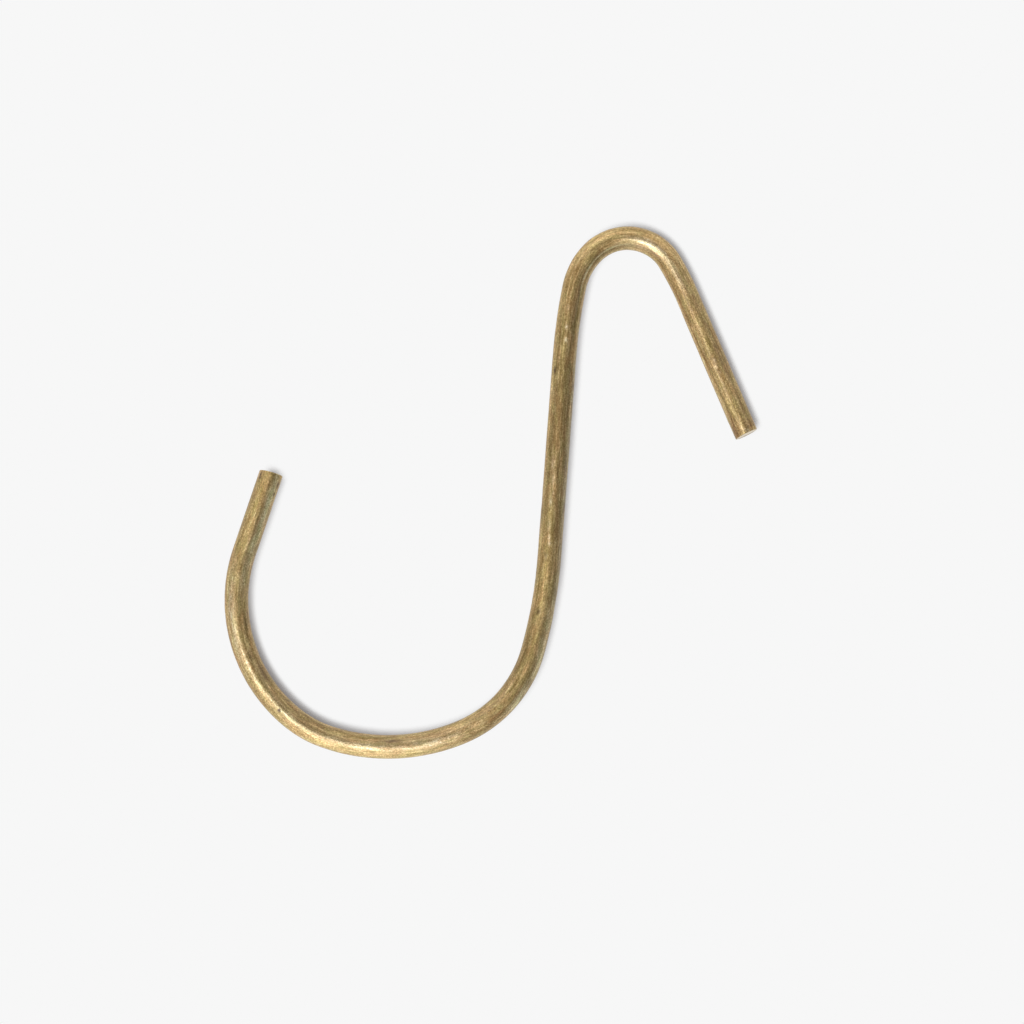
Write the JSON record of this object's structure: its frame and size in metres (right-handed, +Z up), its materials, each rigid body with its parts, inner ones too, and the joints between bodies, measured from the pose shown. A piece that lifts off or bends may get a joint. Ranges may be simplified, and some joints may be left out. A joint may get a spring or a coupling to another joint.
{
  "type": "j hook",
  "caption": "Open hanging hook bent from round brass wire: a wide J carries the load, and a tight crook with a straight leg goes over a rail.",
  "frame": {"origin": "on the surface that the hook lies on, under the middle of its box", "axes": "+Y up the straight shank from the J to the crook, +X from the J towards the crook's leg, +Z up off the surface"},
  "size_m": [0.0652, 0.0692, 0.003],
  "materials": {
    "aged_brass": "drawn wire, dulled and mottled with age"
  },
  "bodies": {
    "root": {"wire_hook": "aged_brass"}
  },
  "joints": []
}
